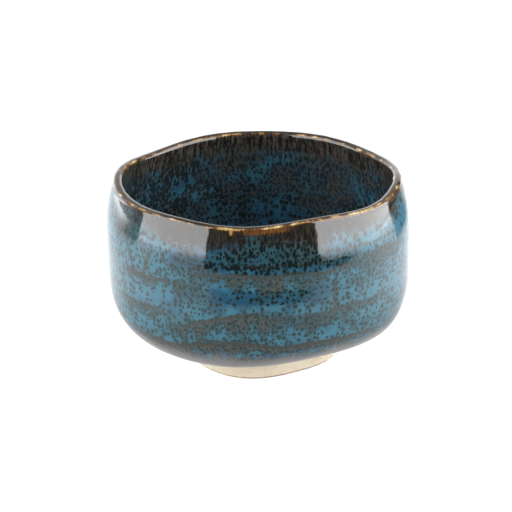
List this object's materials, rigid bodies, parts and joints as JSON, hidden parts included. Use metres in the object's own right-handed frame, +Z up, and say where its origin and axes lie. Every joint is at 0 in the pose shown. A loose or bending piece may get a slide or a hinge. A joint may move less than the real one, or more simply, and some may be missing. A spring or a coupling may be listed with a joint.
{
  "type": "matcha bowl",
  "caption": "Hand-thrown stoneware tea bowl with a softly waving lip, a speckled glaze inside and out, and a bare clay foot ring; for whisking and drinking powdered tea.",
  "frame": {"origin": "on the throwing axis, at the plane the foot ring stands on", "axes": "+Z up along the throwing axis, -Y towards the front of the bowl, +X to the right seen from the front"},
  "size_m": [0.1223, 0.1202, 0.0768],
  "materials": {
    "body_clay": "matte",
    "foot_clay": "matte",
    "outer_glaze": "gloss",
    "lip_glaze": "gloss",
    "inner_glaze": "gloss"
  },
  "bodies": {
    "root": {"stoneware_body": "body_clay", "foot_ring": "foot_clay", "outer_glaze": "outer_glaze", "lip_glaze": "lip_glaze", "inner_glaze": "inner_glaze"}
  },
  "joints": []
}
